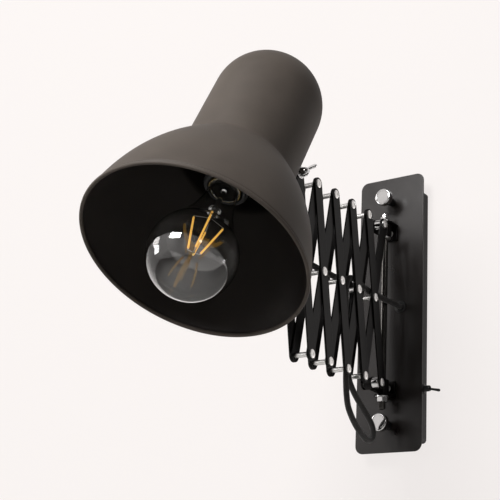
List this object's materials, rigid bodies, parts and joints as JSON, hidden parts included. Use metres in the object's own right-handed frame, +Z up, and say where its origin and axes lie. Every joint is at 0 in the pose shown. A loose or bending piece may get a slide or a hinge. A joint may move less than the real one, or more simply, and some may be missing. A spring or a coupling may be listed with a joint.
{
  "type": "accordion wall lamp",
  "caption": "Wall lamp on a scissor arm that pulls out, swings on an upright rod and carries a tilting bell shade with a clear filament bulb.",
  "frame": {"origin": "on the wall plane, midway between the two wall screw slots, behind the middle of the cover plate", "axes": "+Z up, +Y into the wall, the arm pulls out along -Y and the head hangs in the plane X = 0"},
  "size_m": [0.2056, 0.4388, 0.3401],
  "materials": {
    "plate_black": "satin dark grey powder coat",
    "box_black": "matt black powder coat",
    "arm_black": "satin black lacquer",
    "shade_black": "satin warm black lacquer outside, matt inside",
    "chrome": "polished chrome",
    "zinc": "zinc plated steel",
    "black_plastic": "black moulded plastic",
    "white_plastic": "cream moulded plastic",
    "bulb_glass": "clear glass",
    "bulb_brass": "plain brass",
    "filament": "amber coated filament rods",
    "cable_fabric": "black woven cable sleeve"
  },
  "bodies": {
    "wall_unit": {"wall_box": "box_black", "front_plate": "plate_black", "cover_studs": "zinc", "knob_sleeves": "black_plastic", "cover_knobs": "chrome", "terminal_block": "white_plastic", "switch_body": "black_plastic", "switch_nut": "black_plastic", "upper_lug": "arm_black", "lower_lug": "arm_black", "lug_screws": "zinc", "swivel_rod": "chrome", "rod_washers": "chrome", "rod_cap_nut": "chrome", "rod_lock_nut": "chrome", "rod_stop_ring": "zinc", "cable_grommet": "black_plastic", "cable_wall": "cable_fabric"},
    "switch_toggle": {"switch_lever": "black_plastic"},
    "swivel_carrier": {"swivel_block": "arm_black", "swivel_bar": "chrome", "swivel_collar": "chrome"},
    "rod_slider": {"slider_block": "arm_black", "slider_bar": "chrome", "slider_collar": "chrome"},
    "wing_nut": {"wing_nut": "chrome"},
    "lamp_head": {"tilt_knuckle": "arm_black", "knuckle_screws": "zinc", "shade": "shade_black", "holder_bracket": "zinc", "lampholder": "black_plastic", "holder_ring": "black_plastic", "bulb_glass": "bulb_glass", "bulb_cap": "bulb_brass", "bulb_stem": "bulb_glass", "bulb_wires": "zinc", "bulb_filaments": "filament", "cable_gland": "black_plastic", "cable_head": "cable_fabric"},
    "inner_pair_0": {"inner_links_0": "arm_black"},
    "outer_pair_0": {"outer_links_0": "arm_black", "spacer_bars_0": "chrome"},
    "inner_pair_1": {"inner_links_1": "arm_black"},
    "outer_pair_1": {"outer_links_1": "arm_black", "spacer_bars_1": "chrome", "cable_loop": "cable_fabric"},
    "inner_pair_2": {"inner_links_2": "arm_black"},
    "outer_pair_2": {"outer_links_2": "arm_black", "spacer_bars_2": "chrome", "cable_arm": "cable_fabric"},
    "inner_pair_3": {"inner_links_3": "arm_black"},
    "outer_pair_3": {"outer_links_3": "arm_black", "spacer_bars_3": "chrome"},
    "inner_pair_4": {"inner_links_4": "arm_black"},
    "outer_pair_4": {"outer_links_4": "arm_black", "spacer_bars_4": "chrome", "tilt_bolt": "chrome", "tilt_washers": "black_plastic"}
  },
  "joints": [
    {"name": "swivel", "type": "hinge", "parent": "wall_unit", "child": "swivel_carrier", "pos_m": [0, -0.029, 0], "axis": [0, 0, 1], "range_deg": [-70, 70], "deforming": ["cable_wall"]},
    {"name": "extend", "type": "hinge", "parent": "swivel_carrier", "child": "inner_pair_0", "pos_m": [0, -0.0485, 0.08472], "axis": [-1, 0, 0], "range_deg": [0, 39], "deforming": ["cable_wall", "cable_loop", "cable_arm", "cable_head"]},
    {"name": "cross_0", "type": "hinge", "parent": "inner_pair_0", "child": "outer_pair_0", "pos_m": [0, -0.06466, 0], "axis": [-1, 0, 0], "range_deg": [-78, 0]},
    {"name": "slider_hinge", "type": "hinge", "parent": "outer_pair_0", "child": "rod_slider", "pos_m": [0, -0.0485, -0.08472], "axis": [-1, 0, 0], "range_deg": [0, 39]},
    {"name": "top_1", "type": "hinge", "parent": "outer_pair_0", "child": "inner_pair_1", "pos_m": [0, -0.08082, 0.08472], "axis": [-1, 0, 0], "range_deg": [0, 78]},
    {"name": "cross_1", "type": "hinge", "parent": "inner_pair_1", "child": "outer_pair_1", "pos_m": [0, -0.09699, 0], "axis": [-1, 0, 0], "range_deg": [-78, 0]},
    {"name": "top_2", "type": "hinge", "parent": "outer_pair_1", "child": "inner_pair_2", "pos_m": [0, -0.11315, 0.08472], "axis": [-1, 0, 0], "range_deg": [0, 78]},
    {"name": "cross_2", "type": "hinge", "parent": "inner_pair_2", "child": "outer_pair_2", "pos_m": [0, -0.12931, 0], "axis": [-1, 0, 0], "range_deg": [-78, 0]},
    {"name": "top_3", "type": "hinge", "parent": "outer_pair_2", "child": "inner_pair_3", "pos_m": [0, -0.14547, 0.08472], "axis": [-1, 0, 0], "range_deg": [0, 78]},
    {"name": "cross_3", "type": "hinge", "parent": "inner_pair_3", "child": "outer_pair_3", "pos_m": [0, -0.16163, 0], "axis": [-1, 0, 0], "range_deg": [-78, 0]},
    {"name": "top_4", "type": "hinge", "parent": "outer_pair_3", "child": "inner_pair_4", "pos_m": [0, -0.17779, 0.08472], "axis": [-1, 0, 0], "range_deg": [0, 78]},
    {"name": "cross_4", "type": "hinge", "parent": "inner_pair_4", "child": "outer_pair_4", "pos_m": [0, -0.19395, 0], "axis": [-1, 0, 0], "range_deg": [-78, 0]},
    {"name": "head_tilt", "type": "hinge", "parent": "outer_pair_4", "child": "lamp_head", "pos_m": [0, -0.21012, 0.08472], "axis": [-1, 0, 0], "range_deg": [-18, 60], "deforming": ["cable_head"]},
    {"name": "wing_nut_turn", "type": "hinge", "parent": "outer_pair_4", "child": "wing_nut", "pos_m": [0, -0.21012, 0.08472], "axis": [1, 0, 0], "range_deg": [0, 360]},
    {"name": "switch_throw", "type": "hinge", "parent": "wall_unit", "child": "switch_toggle", "pos_m": [0.04, -0.00725, -0.085], "axis": [0, -1, 0], "range_deg": [0, 24]}
  ],
  "couplings": [
    {"joint": "cross_0", "follows": "extend", "ratio": -2},
    {"joint": "slider_hinge", "follows": "extend", "ratio": 1},
    {"joint": "top_1", "follows": "extend", "ratio": 2},
    {"joint": "cross_1", "follows": "extend", "ratio": -2},
    {"joint": "top_2", "follows": "extend", "ratio": 2},
    {"joint": "cross_2", "follows": "extend", "ratio": -2},
    {"joint": "top_3", "follows": "extend", "ratio": 2},
    {"joint": "cross_3", "follows": "extend", "ratio": -2},
    {"joint": "top_4", "follows": "extend", "ratio": 2},
    {"joint": "cross_4", "follows": "extend", "ratio": -2}
  ]
}
